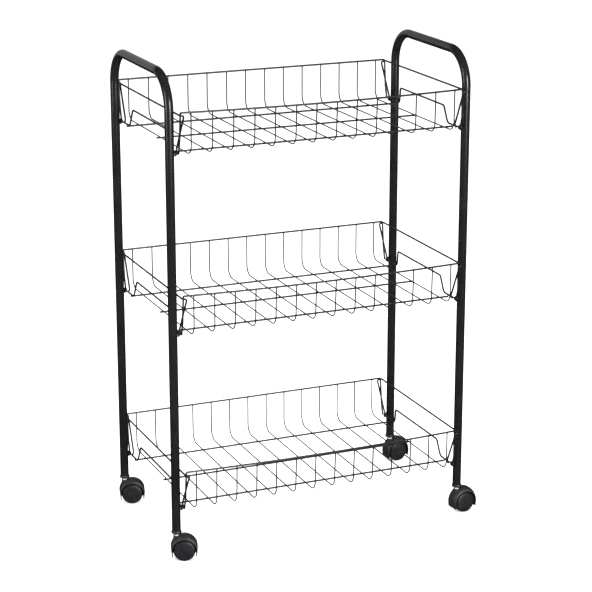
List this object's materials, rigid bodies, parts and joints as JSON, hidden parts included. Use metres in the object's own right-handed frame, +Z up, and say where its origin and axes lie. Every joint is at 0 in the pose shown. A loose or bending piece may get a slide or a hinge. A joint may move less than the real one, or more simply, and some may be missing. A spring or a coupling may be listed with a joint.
{
  "type": "rolling utility cart",
  "caption": "Open wire storage cart: shallow baskets stacked between two bent tube hoops, rolling on swivel casters.",
  "frame": {"origin": "on the floor, under the middle of the cart's bounding box", "axes": "+X along the cart's long side, -Y towards its front, +Z up"},
  "size_m": [0.612, 0.338, 0.8808],
  "materials": {
    "tube_enamel": "semi-gloss black enamel",
    "wire_enamel": "semi-gloss black enamel",
    "screw_enamel": "black coated screw",
    "socket_plastic": "fine moulded texture",
    "hood_plastic": "satin moulded nylon",
    "wheel_plastic": "satin moulded nylon",
    "zinc": "bright zinc plate"
  },
  "bodies": {
    "frame": {"hoop_left": "tube_enamel", "hoop_right": "tube_enamel", "basket_top_floor_grid": "wire_enamel", "basket_top_rim_front": "wire_enamel", "basket_top_rim_rear": "wire_enamel", "basket_top_end_rail_left": "wire_enamel", "basket_top_end_rail_right": "wire_enamel", "basket_top_m_wire_left": "wire_enamel", "basket_top_m_wire_right": "wire_enamel", "screw_top_fl": "screw_enamel", "screw_top_fr": "screw_enamel", "screw_top_rl": "screw_enamel", "screw_top_rr": "screw_enamel", "basket_middle_floor_grid": "wire_enamel", "basket_middle_rim_front": "wire_enamel", "basket_middle_rim_rear": "wire_enamel", "basket_middle_end_rail_left": "wire_enamel", "basket_middle_end_rail_right": "wire_enamel", "basket_middle_m_wire_left": "wire_enamel", "basket_middle_m_wire_right": "wire_enamel", "screw_middle_fl": "screw_enamel", "screw_middle_fr": "screw_enamel", "screw_middle_rl": "screw_enamel", "screw_middle_rr": "screw_enamel", "basket_bottom_floor_grid": "wire_enamel", "basket_bottom_rim_front": "wire_enamel", "basket_bottom_rim_rear": "wire_enamel", "basket_bottom_end_rail_left": "wire_enamel", "basket_bottom_end_rail_right": "wire_enamel", "basket_bottom_m_wire_left": "wire_enamel", "basket_bottom_m_wire_right": "wire_enamel", "screw_bottom_fl": "screw_enamel", "screw_bottom_fr": "screw_enamel", "screw_bottom_rl": "screw_enamel", "screw_bottom_rr": "screw_enamel", "leg_socket_fl": "socket_plastic", "caster_fl_stem": "zinc", "leg_socket_fr": "socket_plastic", "caster_fr_stem": "zinc", "leg_socket_rl": "socket_plastic", "caster_rl_stem": "zinc", "leg_socket_rr": "socket_plastic", "caster_rr_stem": "zinc"},
    "swivel_fl": {"caster_fl_hood": "hood_plastic", "caster_fl_axle": "zinc"},
    "wheel_fl_front": {"caster_fl_wheel_front": "wheel_plastic"},
    "wheel_fl_rear": {"caster_fl_wheel_rear": "wheel_plastic"},
    "swivel_fr": {"caster_fr_hood": "hood_plastic", "caster_fr_axle": "zinc"},
    "wheel_fr_front": {"caster_fr_wheel_front": "wheel_plastic"},
    "wheel_fr_rear": {"caster_fr_wheel_rear": "wheel_plastic"},
    "swivel_rl": {"caster_rl_hood": "hood_plastic", "caster_rl_axle": "zinc"},
    "wheel_rl_front": {"caster_rl_wheel_front": "wheel_plastic"},
    "wheel_rl_rear": {"caster_rl_wheel_rear": "wheel_plastic"},
    "swivel_rr": {"caster_rr_hood": "hood_plastic", "caster_rr_axle": "zinc"},
    "wheel_rr_front": {"caster_rr_wheel_front": "wheel_plastic"},
    "wheel_rr_rear": {"caster_rr_wheel_rear": "wheel_plastic"}
  },
  "joints": [
    {"name": "swivel_fl", "type": "hinge", "parent": "frame", "child": "swivel_fl", "pos_m": [-0.29243, -0.1447, 0.045], "axis": [0, 0, 1], "continuous": true},
    {"name": "wheel_fl_front_spin", "type": "hinge", "parent": "swivel_fl", "child": "wheel_fl_front", "pos_m": [-0.27966, -0.1491, 0.02], "axis": [0.3256, 0.9455, 0], "continuous": true},
    {"name": "wheel_fl_rear_spin", "type": "hinge", "parent": "swivel_fl", "child": "wheel_fl_rear", "pos_m": [-0.27966, -0.1491, 0.02], "axis": [0.3256, 0.9455, 0], "continuous": true},
    {"name": "swivel_fr", "type": "hinge", "parent": "frame", "child": "swivel_fr", "pos_m": [0.26757, -0.1447, 0.045], "axis": [0, 0, 1], "continuous": true},
    {"name": "wheel_fr_front_spin", "type": "hinge", "parent": "swivel_fr", "child": "wheel_fr_front", "pos_m": [0.281, -0.14329, 0.02], "axis": [-0.1045, 0.9945, 0], "continuous": true},
    {"name": "wheel_fr_rear_spin", "type": "hinge", "parent": "swivel_fr", "child": "wheel_fr_rear", "pos_m": [0.281, -0.14329, 0.02], "axis": [-0.1045, 0.9945, 0], "continuous": true},
    {"name": "swivel_rl", "type": "hinge", "parent": "frame", "child": "swivel_rl", "pos_m": [-0.29243, 0.1447, 0.045], "axis": [0, 0, 1], "continuous": true},
    {"name": "wheel_rl_front_spin", "type": "hinge", "parent": "swivel_rl", "child": "wheel_rl_front", "pos_m": [-0.27945, 0.14098, 0.02], "axis": [0.2756, 0.9613, 0], "continuous": true},
    {"name": "wheel_rl_rear_spin", "type": "hinge", "parent": "swivel_rl", "child": "wheel_rl_rear", "pos_m": [-0.27945, 0.14098, 0.02], "axis": [0.2756, 0.9613, 0], "continuous": true},
    {"name": "swivel_rr", "type": "hinge", "parent": "frame", "child": "swivel_rr", "pos_m": [0.26757, 0.1447, 0.045], "axis": [0, 0, 1], "continuous": true},
    {"name": "wheel_rr_front_spin", "type": "hinge", "parent": "swivel_rr", "child": "wheel_rr_front", "pos_m": [0.28102, 0.14588, 0.02], "axis": [-0.0872, 0.9962, 0], "continuous": true},
    {"name": "wheel_rr_rear_spin", "type": "hinge", "parent": "swivel_rr", "child": "wheel_rr_rear", "pos_m": [0.28102, 0.14588, 0.02], "axis": [-0.0872, 0.9962, 0], "continuous": true}
  ]
}
